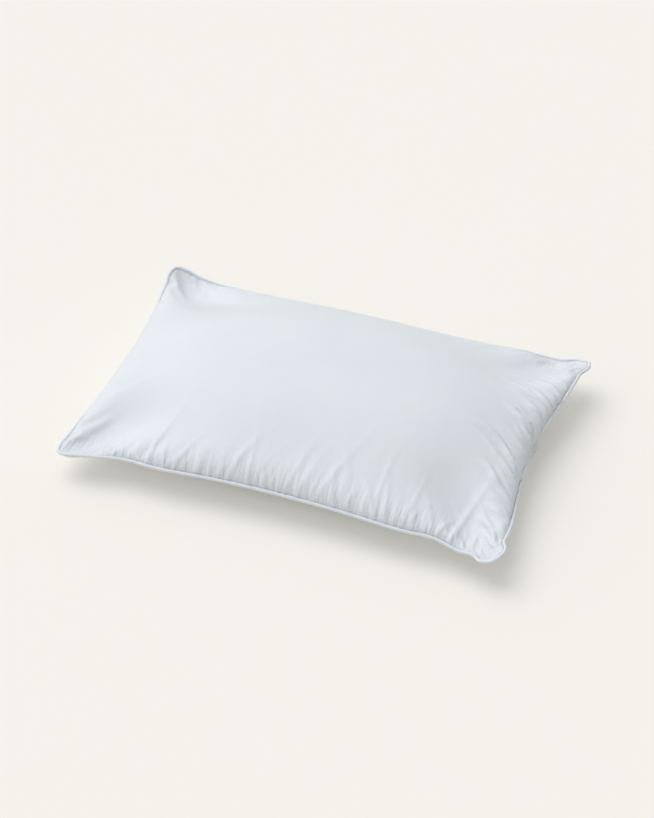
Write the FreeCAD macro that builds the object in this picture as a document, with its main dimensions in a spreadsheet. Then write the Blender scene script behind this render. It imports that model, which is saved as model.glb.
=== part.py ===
"""Bed pillow, filled: two ticking panels, a piped seam and the down inside.

Every body is drawn about the seam plane (local z = 0) and is then placed at the seam's height
above the surface that the pillow rests on. X is the long side and Y the short side.
"""
import FreeCAD
import Part
import math
import os
import Sketcher

# Driving dimensions, in millimetres.
SIZES = {
    "corner_reach_x": 366.0,    # where two side curves of the seam would meet, before rounding
    "corner_reach_y": 245.5,
    "waist_x": 351.0,           # seam at the middle of a short side, pulled in by the filling
    "waist_y": 220.0,           # seam at the middle of a long side
    "corner_radius": 16.0,      # rounding of the seam's corners
    "seam_height": 55.0,        # seam plane above the resting surface
    "crown_rise": 105.0,        # top of the pillow above the seam plane
    "cloth": 0.6,               # drawn thickness of the ticking
    "turned_edge": 0.6,         # panel edge behind the seam line, where the cloth turns inward
    "panel_gap": 1.3,           # seam plane to the inner face of a panel's seam allowance
    "allowance": 10.0,          # width of the seam allowance
    "ear_recess": 12.0,         # how far the down stays back from the corners
    "fill_gap": 0.4,            # down to ticking
    "groove_half": 2.8,         # half height of the room for the seam allowances in the down
    "groove_depth": 12.0,
    "cord_radius": 2.3,         # filler cord of the piping
    "tape_radius": 2.8,         # piping, outside
    "tape_bore": 2.4,
    "tape_cloth": 0.4,          # one layer of the bias tape
    "piping_reach": 3.0,        # seam line to the centre of the piping
    "join_gap": 1.0,            # between the two ends of the cord, at the join
    "tape_row_inset": 1.0,      # stitch rows, measured inward from the seam line
    "tape_row_height": 0.6,
    "tape_row_thread": 0.3,
    "main_row_inset": 1.6,
    "row_height": 2.15,
    "row_thread": 0.4,
    "closing_row_inset": 3.6,
    "closing_length": 180.0,    # the opening that the down is blown in through
    "overlock_bite": 3.6,       # how far the overlock reaches over the raw edges
    "overlock_face": 2.0,       # seam plane to the overlock's arms
    "overlock_thread": 0.4,
    "label_width": 30.0,
    "label_hang": 28.0,
    "label_cloth": 0.3,
    "label_tail": 8.0,          # end of the label that is held in the seam
    "label_level": 0.85,        # seam plane to the upper face of that end
    "label_offset": 0.3,        # back of the hanging part, behind the seam line
}

SIDES = 4
OPEN_END = 1
CLOSED_END = 2
CENTRE = 3
UP = 1
DOWN = -1
CROWN_LEVELS = (0.0, 0.12, 0.3, 0.52, 0.74, 0.92)
BASE_LEVELS = (0.0, 0.15, 0.4, 0.7, 1.0)
RESTING_SHARE = 0.42            # how much a side has drawn in where the pillow meets the surface


def fill_sheet(document):
    """Write the driving dimensions into a spreadsheet, one aliased cell for each."""
    sheet = document.addObject("Spreadsheet::Sheet", "sizes")
    for row, (alias, value) in enumerate(SIZES.items(), start=1):
        sheet.set(f"A{row}", alias)
        sheet.set(f"B{row}", str(value))
        sheet.setAlias(f"B{row}", alias)
    document.recompute()
    return sheet


def cell(alias):
    return f"sizes.{alias}"


class Outline:
    """A four-sided outline of bowed sides and rounded corners, held as expressions.

    waist_x and waist_y are where the sides cross the axes, corner_x and corner_y where they would
    meet. A side whose waist lies inside its corners is hollow, otherwise it bulges.
    """

    def __init__(self, sheet, waist_x, waist_y, corner_x, corner_y, radius):
        self.sheet = sheet
        self.waist = (waist_x, waist_y)
        self.corner = (corner_x, corner_y)
        bow_x = f"(({waist_x}) - ({corner_x}))"
        bow_y = f"(({waist_y}) - ({corner_y}))"
        self.curve = (
            f"((({corner_y})^2 + {bow_x}^2) / (2 * {bow_x}))",
            f"((({corner_x})^2 + {bow_y}^2) / (2 * {bow_y}))",
        )
        self.radius = radius

    def value(self, expression):
        return float(self.sheet.evalExpression(expression))

    def hollow(self, axis):
        return self.value(self.curve[axis]) < 0

    def side_radius(self, axis, grow):
        """Radius of a side, once the whole outline has grown outward by that much."""
        if self.hollow(axis):
            return f"-1 * {self.curve[axis]} - ({grow})"
        return f"{self.curve[axis]} + ({grow})"

    def side_centre(self, axis):
        """Distance of a side's centre from the origin, along the side's own axis."""
        return f"({self.waist[axis]}) - {self.curve[axis]}"

    def corner_centre(self):
        """Centre of the corner arc in the first quadrant, tangent to both sides."""
        corner = self.value(self.radius)
        right = self.value(self.side_centre(0))
        back = self.value(self.side_centre(1))
        reach_right = abs(self.value(self.curve[0]) - corner)
        reach_back = abs(self.value(self.curve[1]) - corner)
        span = math.hypot(right, back)
        along = (reach_right**2 - reach_back**2 + span**2) / (2 * span)
        across = math.sqrt(reach_right**2 - along**2)
        step_x, step_y = -right / span, back / span
        foot_x, foot_y = right + along * step_x, along * step_y
        candidates = [
            (foot_x - across * step_y, foot_y + across * step_x),
            (foot_x + across * step_y, foot_y - across * step_x),
        ]
        meeting = [self.value(reach) for reach in self.corner]
        return min(candidates, key=lambda centre: math.dist(centre, meeting))


def side_frame(side):
    """Axis (0 for X, 1 for Y) and sign of a side: right, back, left, front."""
    return side % 2, 1 if side < 2 else -1


def corner_point(outline, corner):
    """Centre of a corner arc; corner 0 follows the right side, anticlockwise."""
    x, y = outline.corner_centre()
    signs = ((1, 1), (-1, 1), (-1, -1), (1, -1))
    return FreeCAD.Vector(x * signs[corner][0], y * signs[corner][1], 0)


def draw_arc(sketch, centre, radius, first, last):
    """Add an anticlockwise arc about centre, from the direction of one point to another's."""
    start = math.atan2(first.y - centre.y, first.x - centre.x)
    end = math.atan2(last.y - centre.y, last.x - centre.x)
    while end < start:
        end += 2 * math.pi
    circle = Part.Circle(centre, FreeCAD.Vector(0, 0, 1), radius)
    return sketch.addGeometry(Part.ArcOfCircle(circle, start, end), False)


def bind(sketch, kind, *arguments):
    """Add a dimension to a sketch and tie it to an expression, the last argument."""
    *geometry, expression = arguments
    value = float(sketch.evalExpression(expression))
    index = sketch.addConstraint(Sketcher.Constraint(kind, *geometry, value))
    sketch.setExpression(f"Constraints[{index}]", expression)


def draw_side(sketch, outline, side, grow, first, last):
    """Draw one side, or a stretch of it, and hold its centre and radius."""
    axis, sign = side_frame(side)
    centre = FreeCAD.Vector(0, 0, 0)
    centre[axis] = sign * outline.value(outline.side_centre(axis))
    radius = outline.side_radius(axis, grow)
    arc = draw_arc(sketch, centre, outline.value(radius), first, last)
    signed = f"{sign} * ({outline.side_centre(axis)})"
    bind(sketch, ("DistanceX", "DistanceY")[axis], -1, 1, arc, CENTRE, signed)
    sketch.addConstraint(Sketcher.Constraint("PointOnObject", arc, CENTRE, -1 if axis == 0 else -2))
    bind(sketch, "Radius", arc, radius)
    return arc


def draw_joined_side(sketch, outline, grow, gap):
    """Draw the right side as two stretches, with a gap between them at its middle."""
    below, above = corner_point(outline, SIDES - 1), corner_point(outline, 0)
    half = FreeCAD.Vector(0, outline.value(gap) / 2, 0)
    middle = FreeCAD.Vector(outline.value(f"{outline.waist[0]} + ({grow})"), 0, 0)
    upper = draw_side(sketch, outline, 0, grow, above, middle + half)
    lower = draw_side(sketch, outline, 0, grow, middle - half, below)
    bind(sketch, "DistanceY", -1, 1, upper, CLOSED_END, f"({gap}) / 2")
    bind(sketch, "DistanceY", -1, 1, lower, OPEN_END, f"-1 * ({gap}) / 2")
    return upper, lower


def draw_corner(sketch, outline, corner, grow):
    """Draw one corner arc between the sides before and after it."""
    centre = corner_point(outline, corner)
    ends = []
    for side in (corner, (corner + 1) % SIDES):
        axis, sign = side_frame(side)
        pivot = FreeCAD.Vector(0, 0, 0)
        pivot[axis] = sign * outline.value(outline.side_centre(axis))
        ends.append(pivot if outline.hollow(axis) else centre * 2 - pivot)
    radius = f"({outline.radius}) + ({grow})"
    arc = draw_arc(sketch, centre, outline.value(radius), *ends)
    bind(sketch, "Radius", arc, radius)
    return arc


def draw_outline(sketch, outline, grow="0", gap=None):
    """Draw the outline grown outward by an expression, closed or with a gap on the right side."""
    before, after = {}, {}
    for side in range(SIDES):
        ends = corner_point(outline, (side - 1) % SIDES), corner_point(outline, side)
        if side == 0 and gap:
            after[side], before[side] = draw_joined_side(sketch, outline, grow, gap)
            continue
        ordered = reversed(ends) if outline.hollow(side % 2) else ends
        before[side] = after[side] = draw_side(sketch, outline, side, grow, *ordered)
    for corner in range(SIDES):
        arc = draw_corner(sketch, outline, corner, grow)
        following = (corner + 1) % SIDES
        side_end = OPEN_END if outline.hollow(corner % 2) else CLOSED_END
        join_tangent(sketch, after[corner], side_end, arc, OPEN_END)
        side_end = CLOSED_END if outline.hollow(following % 2) else OPEN_END
        join_tangent(sketch, before[following], side_end, arc, CLOSED_END)


def join_tangent(sketch, side, side_end, corner, corner_end):
    sketch.addConstraint(Sketcher.Constraint("Tangent", side, side_end, corner, corner_end))


def origin_plane(body, role):
    for feature in body.Origin.OriginFeatures:
        if feature.Role == role:
            return feature
    raise ValueError(role)


def new_sketch(body, name, role="XY_Plane", height="0"):
    """Start a sketch on one of the body's own planes, raised by an expression."""
    sketch = body.newObject("Sketcher::SketchObject", name)
    sketch.AttachmentSupport = (origin_plane(body, role), [""])
    sketch.MapMode = "FlatFace"
    sketch.setExpression("AttachmentOffset.Base.z", height)
    return sketch


def new_body(document, name):
    """Start a body in the seam plane."""
    body = document.addObject("PartDesign::Body", name)
    body.Label = name
    body.setExpression("Placement.Base.z", cell("seam_height"))
    return body


def seam_outline(sheet):
    return Outline(sheet, cell("waist_x"), cell("waist_y"), cell("corner_reach_x"),
                   cell("corner_reach_y"), cell("corner_radius"))


def crown_section(sheet, level, inset, ear_inset):
    """Outline of the pillow at a share of its height above the seam."""
    side = math.sqrt(1 - level**2)
    corner = (1 - 0.34 * level**0.4) * math.sqrt(1 - level**3)
    rounding = 0.4 * corner * level**0.3
    return section(sheet, side, corner, rounding, inset, ear_inset)


def base_section(sheet, level, inset, ear_inset):
    """Outline of the pillow at a share of its depth below the seam."""
    side = 1 - RESTING_SHARE * level**2.2
    corner = side * (1 - 0.22 * level**0.4)
    rounding = 0.4 * corner * level**0.3
    return section(sheet, side, corner, rounding, inset, ear_inset)


def section(sheet, side, corner, rounding, inset, ear_inset):
    reach_y = f"{corner:.4f} * ({cell('corner_reach_y')} - ({ear_inset}))"
    return Outline(
        sheet,
        f"{side:.4f} * ({cell('waist_x')} - ({inset}))",
        f"{side:.4f} * ({cell('waist_y')} - ({inset}))",
        f"{corner:.4f} * ({cell('corner_reach_x')} - ({ear_inset}))",
        reach_y,
        f"{cell('corner_radius')} + {rounding:.4f} * ({reach_y})",
    )


def loft(body, kind, name, direction, base, top, inset, ear_inset):
    """Loft one half of the pillow, from the height base to the height top off the seam plane."""
    levels = CROWN_LEVELS if direction == UP else BASE_LEVELS
    outline_at = crown_section if direction == UP else base_section
    sketches = []
    for number, level in enumerate(levels):
        share = level / levels[-1]
        height = f"{direction} * (({base}) + {share:.4f} * (({top}) - ({base})))"
        sketch = new_sketch(body, f"{name}_section_{number}", height=height)
        draw_outline(sketch, outline_at(body.Document.sizes, level, inset, ear_inset))
        sketches.append(sketch)
    body.Document.recompute()
    feature = body.newObject(kind, name)
    feature.Profile = sketches[0]
    feature.Sections = sketches[1:]
    feature.Ruled = True
    body.Document.recompute()
    return feature


def ring(body, kind, name, outer, inner, height, thickness, direction=UP):
    """Pad or pocket a flat ring that follows the seam line."""
    sketch = new_sketch(body, f"{name}_outline", height=height)
    outline = seam_outline(body.Document.sizes)
    draw_outline(sketch, outline, outer)
    draw_outline(sketch, outline, inner)
    body.Document.recompute()
    feature = body.newObject(kind, name)
    feature.Profile = sketch
    feature.setExpression("Length", thickness)
    feature.Reversed = direction == DOWN
    body.Document.recompute()
    return feature


def make_panel(document, name, direction):
    """A ticking panel: its bulged shell, and the seam allowance turned inward."""
    body = new_body(document, name)
    edge = cell("turned_edge")
    top = cell("crown_rise") if direction == UP else cell("seam_height")
    loft(body, "PartDesign::AdditiveLoft", "outside", direction, cell("panel_gap"), top, edge, edge)
    inset = f"{edge} + {cell('cloth')}"
    ear_inset = f"{edge} + 4 * {cell('cloth')}"
    inner_top = f"({top}) - {cell('cloth')}"
    loft(body, "PartDesign::SubtractiveLoft", "inside", direction, cell("panel_gap"), inner_top,
         inset, ear_inset)
    ring(body, "PartDesign::Pad", "seam_allowance", f"-1 * {edge}", f"-1 * {cell('allowance')}",
         f"{direction} * {cell('panel_gap')}", cell("cloth"), direction)
    return body


def make_fill(document):
    """The down: the room inside the panels, grooved where the seam allowances lie."""
    body = new_body(document, "down_fill")
    inset = f"{cell('turned_edge')} + {cell('cloth')} + {cell('fill_gap')}"
    for direction, name, limit in ((UP, "crown", "crown_rise"), (DOWN, "base", "seam_height")):
        top = f"{cell(limit)} - {cell('cloth')} - {cell('fill_gap')}"
        loft(body, "PartDesign::AdditiveLoft", name, direction, "0", top, inset, cell("ear_recess"))
    groove = ring(body, "PartDesign::Pocket", "seam_groove", "2", f"-1 * {cell('groove_depth')}",
                  "0", f"2 * {cell('groove_half')}")
    groove.Midplane = True
    document.recompute()
    return body


def pipe_profile(body, name, draw):
    """Start a profile across the seam line, where the open loop begins."""
    sketch = new_sketch(body, name, "XZ_Plane", f"-1 * {cell('join_gap')} / 2")
    draw(sketch)
    return sketch


def draw_circle(sketch, reach, height, radius):
    """Draw a circle at a distance from the seam line and a height off the seam plane."""
    across = f"{cell('waist_x')} + ({reach})"
    centre = FreeCAD.Vector(*(float(sketch.evalExpression(place)) for place in (across, height)), 0)
    size = float(sketch.evalExpression(radius))
    circle = sketch.addGeometry(Part.Circle(centre, FreeCAD.Vector(0, 0, 1), size), False)
    bind(sketch, "DistanceX", -1, 1, circle, CENTRE, across)
    if height == "0":
        sketch.addConstraint(Sketcher.Constraint("PointOnObject", circle, CENTRE, -1))
    else:
        bind(sketch, "DistanceY", -1, 1, circle, CENTRE, height)
    bind(sketch, "Radius", circle, radius)


def sweep(body, kind, name, profile, spine):
    """Sweep a profile along the whole of a spine sketch."""
    body.Document.recompute()
    feature = body.newObject(kind, name)
    feature.Profile = profile
    feature.Spine = (spine, [f"Edge{number + 1}" for number in range(len(spine.Shape.Edges))])
    body.Document.recompute()
    return feature


def round_loop(document, name, reach, height, radius):
    """A cord or thread that follows the whole seam, at a reach outward of the seam line."""
    body = new_body(document, name)
    spine = new_sketch(body, f"{name}_spine", height=height)
    draw_outline(spine, seam_outline(document.sizes), reach, cell("join_gap"))
    profile = pipe_profile(body, f"{name}_profile",
                           lambda sketch: draw_circle(sketch, reach, height, radius))
    sweep(body, "PartDesign::AdditivePipe", name + "_sweep", profile, spine)
    return body


def draw_tape_profile(sketch):
    """Draw the folded bias tape: round over the cord, flat between the two panels."""
    value = lambda expression: float(sketch.evalExpression(expression))
    across = f"{cell('waist_x')} + {cell('piping_reach')}"
    inner_end = f"{cell('waist_x')} - {cell('allowance')}"
    radius, half = value(cell("tape_radius")), value(cell("tape_cloth"))
    centre = FreeCAD.Vector(value(across), 0, 0)
    root = centre - FreeCAD.Vector(math.sqrt(radius**2 - half**2), 0, 0)
    rise = FreeCAD.Vector(0, half, 0)
    tip = FreeCAD.Vector(value(inner_end), 0, 0)
    round_part = draw_arc(sketch, centre, radius, root - rise, root + rise)
    corners = (root + rise, tip + rise, tip - rise, root - rise)
    lines = [sketch.addGeometry(Part.LineSegment(*ends), False) for ends in zip(corners, corners[1:])]
    chain = [round_part, *lines, round_part]
    for first, second in zip(chain, chain[1:]):
        meeting = Sketcher.Constraint("Coincident", first, CLOSED_END, second, OPEN_END)
        sketch.addConstraint(meeting)
    sketch.addConstraint(Sketcher.Constraint("Horizontal", lines[0]))
    sketch.addConstraint(Sketcher.Constraint("Vertical", lines[1]))
    sketch.addConstraint(Sketcher.Constraint("Horizontal", lines[2]))
    sketch.addConstraint(Sketcher.Constraint("PointOnObject", round_part, CENTRE, -1))
    bind(sketch, "DistanceX", -1, 1, round_part, CENTRE, across)
    bind(sketch, "Radius", round_part, cell("tape_radius"))
    bind(sketch, "DistanceX", -1, 1, lines[0], CLOSED_END, inner_end)
    bind(sketch, "DistanceY", -1, 1, lines[0], CLOSED_END, cell("tape_cloth"))
    bind(sketch, "DistanceY", lines[1], CLOSED_END, lines[1], OPEN_END, f"2 * {cell('tape_cloth')}")


def make_piping_tape(document):
    """The bias tape of the piping, wrapped round the cord, with its bore."""
    body = new_body(document, "piping_tape")
    spine = new_sketch(body, "tape_spine")
    reach = cell("piping_reach")
    draw_outline(spine, seam_outline(document.sizes), reach, cell("join_gap"))
    outside = pipe_profile(body, "tape_profile", draw_tape_profile)
    sweep(body, "PartDesign::AdditivePipe", "tape", outside, spine)
    bore = pipe_profile(body, "bore_profile",
                        lambda sketch: draw_circle(sketch, reach, "0", cell("tape_bore")))
    sweep(body, "PartDesign::SubtractivePipe", "bore", bore, spine)
    return body


def make_overlock(document):
    """The overlock thread, drawn as a band of C section over the raw edges of the allowances."""
    body = new_body(document, "overlock_thread")
    thread = cell("overlock_thread")
    face = cell("overlock_face")
    edge = f"-1 * {cell('allowance')} - 0.75 * {thread}"
    back = f"{edge} - {thread}"
    tip = f"-1 * {cell('allowance')} + {cell('overlock_bite')}"
    web = ring(body, "PartDesign::Pad", "web", edge, back, "0", f"2 * ({face} + {thread})")
    web.Midplane = True
    for direction, name in ((UP, "upper_arm"), (DOWN, "lower_arm")):
        ring(body, "PartDesign::Pad", name, tip, back, f"{direction} * {face}", thread, direction)
    return body


def make_closing_thread(document, name, direction):
    """One of the two threads that close the opening for the down, along the rear seam."""
    body = new_body(document, name)
    outline = seam_outline(document.sizes)
    inset = f"-1 * {cell('closing_row_inset')}"
    height = f"{direction} * {cell('row_height')}"
    half = f"{cell('closing_length')} / 2"
    spine = new_sketch(body, f"{name}_spine", height=height)
    y = outline.value(f"{cell('waist_y')} + ({inset})")
    reach = outline.value(half)
    arc = draw_side(spine, outline, 1, inset, FreeCAD.Vector(-reach, y, 0), FreeCAD.Vector(reach, y, 0))
    bind(spine, "DistanceX", -1, 1, arc, CLOSED_END, half)
    bind(spine, "DistanceX", arc, OPEN_END, -1, 1, half)
    middle = new_sketch(body, f"{name}_profile", "YZ_Plane")
    across = f"{cell('waist_y')} + ({inset})"
    centre = FreeCAD.Vector(y, outline.value(height), 0)
    size = outline.value(f"{cell('row_thread')} / 2")
    circle = middle.addGeometry(Part.Circle(centre, FreeCAD.Vector(0, 0, 1), size), False)
    bind(middle, "DistanceX", -1, 1, circle, CENTRE, across)
    bind(middle, "DistanceY", -1, 1, circle, CENTRE, height)
    bind(middle, "Radius", circle, f"{cell('row_thread')} / 2")
    sweep(body, "PartDesign::AdditivePipe", f"{name}_sweep", middle, spine)
    return body


def make_label(document):
    """A blank care label in the left seam: its end in the seam, the rest hanging free."""
    body = new_body(document, "care_label")
    sketch = new_sketch(body, "label_section", "XZ_Plane")
    seam = f"-1 * {cell('waist_x')}"
    level = f"-1 * {cell('label_level')}"
    cloth = cell("label_cloth")
    behind = f"{seam} + {cell('label_offset')}"
    places = (
        (f"{seam} + {cell('label_tail')}", level),
        (f"{behind} - {cloth}", level),
        (f"{behind} - {cloth}", f"-1 * {cell('label_hang')}"),
        (behind, f"-1 * {cell('label_hang')}"),
        (behind, f"{level} - {cloth}"),
        (f"{seam} + {cell('label_tail')}", f"{level} - {cloth}"),
    )
    points = [FreeCAD.Vector(*(float(sketch.evalExpression(part)) for part in place), 0)
              for place in places]
    lines = [sketch.addGeometry(Part.LineSegment(point, points[(number + 1) % len(points)]), False)
             for number, point in enumerate(points)]
    for number, line in enumerate(lines):
        meeting = Sketcher.Constraint("Coincident", line, CLOSED_END, lines[(number + 1) % 6], OPEN_END)
        sketch.addConstraint(meeting)
        bind(sketch, "DistanceX", -1, 1, line, OPEN_END, places[number][0])
        bind(sketch, "DistanceY", -1, 1, line, OPEN_END, places[number][1])
    document.recompute()
    pad = body.newObject("PartDesign::Pad", "label")
    pad.Profile = sketch
    pad.Midplane = True
    pad.setExpression("Length", cell("label_width"))
    return body


def make_row(document, name, inset, height, thread):
    """One thread of a stitch row that runs round the pillow, drawn with a square section."""
    body = new_body(document, name)
    outer = f"-1 * {inset} + {thread} / 2"
    row = ring(body, "PartDesign::Pad", f"{name}_row", outer, f"({outer}) - {thread}", height, thread)
    row.Midplane = True
    document.recompute()
    return body


def make_threads(document):
    """The needle thread above and the bobbin thread below each row that runs round the pillow."""
    bodies = []
    rows = (("piping", "tape_row_inset", "tape_row_height", "tape_row_thread"),
            ("seam", "main_row_inset", "row_height", "row_thread"))
    for row, inset, height, thread in rows:
        for direction, spool in ((UP, "needle"), (DOWN, "bobbin")):
            bodies.append(make_row(document, f"{row}_{spool}_thread", cell(inset),
                                   f"{direction} * {cell(height)}", cell(thread)))
    return bodies


def check(document, bodies):
    """Stop if any object failed, or if a sub-part has no valid solid."""
    for thing in document.Objects:
        if {"Invalid", "Error"} & set(thing.State):
            raise RuntimeError(f"{thing.Label} failed: {thing.State}")
    for body in bodies:
        if body.Shape.isNull() or not body.Shape.isValid() or not body.Shape.Solids:
            raise RuntimeError(f"{body.Label} has no valid solid")


def main():
    document = FreeCAD.newDocument("bed_pillow")
    sheet = fill_sheet(document)
    bodies = [
        make_panel(document, "upper_panel", UP),
        make_panel(document, "lower_panel", DOWN),
        make_fill(document),
        round_loop(document, "piping_cord", cell("piping_reach"), "0", cell("cord_radius")),
        make_piping_tape(document),
        *make_threads(document),
        make_overlock(document),
        make_closing_thread(document, "closing_needle_thread", UP),
        make_closing_thread(document, "closing_bobbin_thread", DOWN),
        make_label(document),
    ]
    document.recompute()
    check(document, bodies)
    os.makedirs("parts", exist_ok=True)
    for body in bodies:
        body.Shape.exportStep(f"parts/{body.Label}.step")
        print(f"{body.Label}: {len(body.Shape.Solids)} solid, {body.Shape.Volume / 1000:.1f} cm3")
    print(f"{sheet.Label}: {len(SIZES)} driving dimensions")


main()
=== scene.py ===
import math

import bpy
import numpy as np
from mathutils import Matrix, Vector


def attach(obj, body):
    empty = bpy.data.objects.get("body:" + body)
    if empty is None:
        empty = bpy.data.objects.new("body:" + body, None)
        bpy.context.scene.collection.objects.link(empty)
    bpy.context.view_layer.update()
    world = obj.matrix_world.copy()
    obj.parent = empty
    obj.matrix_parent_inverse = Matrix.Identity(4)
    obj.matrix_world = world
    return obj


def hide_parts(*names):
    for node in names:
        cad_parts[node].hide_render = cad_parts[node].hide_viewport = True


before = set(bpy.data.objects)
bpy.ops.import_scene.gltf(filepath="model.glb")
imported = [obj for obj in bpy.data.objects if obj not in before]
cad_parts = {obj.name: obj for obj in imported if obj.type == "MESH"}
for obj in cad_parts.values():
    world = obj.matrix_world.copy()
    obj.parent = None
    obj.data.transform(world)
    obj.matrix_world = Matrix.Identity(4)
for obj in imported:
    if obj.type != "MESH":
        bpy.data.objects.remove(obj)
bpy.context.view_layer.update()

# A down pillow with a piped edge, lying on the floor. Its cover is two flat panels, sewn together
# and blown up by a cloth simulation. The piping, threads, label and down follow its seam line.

F = np.float32
TINY = 1e-9             # these two keep divisions safe
SHORTEST = 1e-6

# ------------ sizes, in metres
CUT_LENGTH = 0.750      # one panel, seam to seam, laid flat
CUT_WIDTH = 0.500
CUT_CORNER = 0.027      # length over which a corner is bent round
TICKING = 0.0004
ALLOWANCE = 0.010
ALLOWANCE_BENDS = (0.0016, 0.004, 0.007, ALLOWANCE)  # inside the seam line
FOLD_GAP = 0.0007       # seam plane to the middle of a panel's turned-in edge
FOLD_DRIFT = 0.00015    # how far it wanders, fully from a depth on
FOLD_DRIFT_WAVE = 0.011
FOLD_DRIFT_DEPTH = 0.007
HUG_OUT = 0.0007        # how far a full panel climbs the piping
HUG_UP = 0.0022
CORD_RADIUS = 0.0022
CORD_LAY = 0.00105      # middle of the cord to the middle of a strand
CORD_TWIST = 0.013      # one turn of its strands
CORD_STEP = 0.0022
CORD_END = 0.001        # from the join to each end
TAPE = 0.00035
TAPE_RADIUS = 0.0028
TAPE_CENTRE = TAPE_RADIUS + 0.0001  # seam line to the middle of the tape's tube
TAPE_GAP = 0.00005      # seam plane to each layer of the folded tape
TAPE_FLAT = (ALLOWANCE, 0.0065, 0.003)  # points of its flat part
TAPE_BEND = 0.005
TAPE_STEP = 0.0024
TAPE_RIB = 0.022        # unevenness of its tube, against the radius
JOIN_LENGTH = 0.022     # overlap of the tape's two ends
JOIN_OPEN = 0.95        # angle to the seam plane that the lap leaves bare
JOIN_INNER = TAPE_RADIUS + 0.00006
JOIN_OUTER = TAPE_RADIUS + 0.00055
JOIN_BIAS = 0.0022      # slant of its cut ends
JOIN_THIN = 0.35        # thickness left at those ends
LABEL = 0.00025
LABEL_WIDTH = 0.030
LABEL_TAIL = 0.008
LABEL_HANG = 0.028
LABEL_UNDER = 0.00115   # its tail, below the seam plane
LABEL_CURL = 0.0016
FILL_SETBACK = 0.013    # down to seam line, room for the allowances
FILL_INSET = 0.0014     # down to ticking, and its dimples
FILL_DIMPLE = 0.0012
FILL_DIMPLE_SIZE = 0.03
FILL_RIM = 0.0004       # half the thickness of its thin edge
STITCH = 0.003
STITCH_ARCH = (-0.0004, 0.0, 0.00008, 0.0, -0.0004)  # height along a stitch
STITCH_START = 0.06     # shares of the pitch
STITCH_LENGTH = 0.88
STITCH_ROWS = {
    # distance inside the seam line, height over the seam plane, thread radius
    "piping": (0.0010, 0.00056, 0.00010),
    "seam": (0.0024, 0.00098, 0.00016),
    "closing": (0.0042, 0.00098, 0.00016),
}
OPENING = 0.18          # filling opening, sewn up, in the middle of the back
OVERLOCK_RADIUS = 0.00018
OVERLOCK_BITE = 0.0020  # half a loop's depth, and how far it stands out
OVERLOCK_OUT = 0.0011
OVERLOCK_RISE = 0.00175
OVERLOCK_SQUARE = 1.25  # over 1 gives the loops flat tops

# ------------ filling
SEED = 3
COARSE = (65, 43)       # cells along and across, doubled twice while it fills
EDGE_CROWDING = 0.12    # 0 is an even grid, more has smaller cells at the seams
CROWN = 0.152           # height that the down would reach if nothing held it
FLAT_LENGTH = 3.0       # 2 is an evenly round top, more is flatter in the middle
FLAT_WIDTH = 2.3
FULL_ENDS = 0.5         # 0.5 is a round end, 1 a sharp one
FULL_SIDES = 0.56
EMPTY_CORNERS = 1.25    # more leaves less down in the corners
LUMP_HEIGHT = 0.04      # unevenness of the down, against its thickness
LUMP_SIZE = 0.22
LUMP_SPREAD = (0.8, 1.7)
START_HEIGHT = 0.05     # the cover before it is blown up
START_SHARE = 0.25
START_NOISE = 2e-4      # lets wrinkles form where the cover gets thick
START_NOISY = 0.005
FULL_PUSH = 0.1         # missing thickness at which the down pushes fully
FLOOR_GRIP = 0.2        # speed left to cloth that rests on the floor
SEAM_SHRINK = 0.955     # piped seam against the cloth that is sewn to it
SEAM_STIFFNESS = 0.2
TUCKED_UNDER = 1.0      # how much less the down fills just under the seam
SPREAD = 0.05           # how firmly the pillow was smoothed out to its seams
EDGE_REACH = 0.03       # how far inside the seam these two are felt
LINE_EASE = 2           # points over which the seam is smoothed
OUTWARD_EASE = 4
INNER_CELLS = 4         # from the seam to points that show what is outward

# ------------ shape moves after filling
TUCK = 0.014            # the lower panel, drawn in under the long seams
TUCK_DEPTH = 0.035      # where it is drawn in most
FRONT_DRAWN = 0.012     # the front edge, drawn in beside its corners
FRONT_DRAWN_AT = 0.27   # from the middle of the front
FRONT_DRAWN_SPAN = 0.05
FRONT_DRAWN_DEPTH = 0.07
RIGHT_DENT = 0.009      # the right side, drawn in
RIGHT_DENT_DEPTH = 0.08
JOIN_STEP = 0.0015      # the step in it where the piping's ends lap
JOIN_STEP_TURN = 0.008
JOIN_STEP_SPAN = 0.025
JOIN_STEP_DEPTH = 0.02
ROOM = 0.0034           # half the least room between the panels
ROOM_REACH = 0.007
EAR_WIDTH = 0.045       # how far from its diagonal a corner is shaped
EAR_RAISED_REACH = 0.13
EAR_REACH = 0.075       # the part of a corner that is turned
EAR_STRETCH = 1.5       # more draws out less than the tip
EAR_NECK = 0.034        # the gathered place, from the corner
EAR_NECK_LENGTH = 0.013
EAR_TIP = 0.012         # the widened place, from the corner
EAR_TIP_LENGTH = 0.013
EAR_BLUNT = 1.3         # how much it is widened, against the neck
EAR_FOLD = 0.021        # from fold to fold
EAR_FOLD_PHASE = 0.7
EAR_FOLD_AT = 0.7 * EAR_NECK
EAR_FOLD_LENGTH = 0.024
EAR_HEM = 0.012         # folds fade over this distance from the seam
EARS = (
    # ends, raised, stretch, lift and roll in degrees, pinch, fold
    ((-1, 1), 0.003, (-0.011, 0.002, 0.004), 17, 8, 0.10, 0.0006),
    ((1, 1), 0.017, (0.017, 0.009, -0.010), 8, -22, 0.27, 0.0026),
    ((-1, -1), 0, (-0.007, -0.008, -0.003), 2, 6, 0.06, 0.0006),
    ((1, -1), 0, (0.009, -0.006, 0), 12, 18, 0.34, 0.0036),
)
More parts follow.
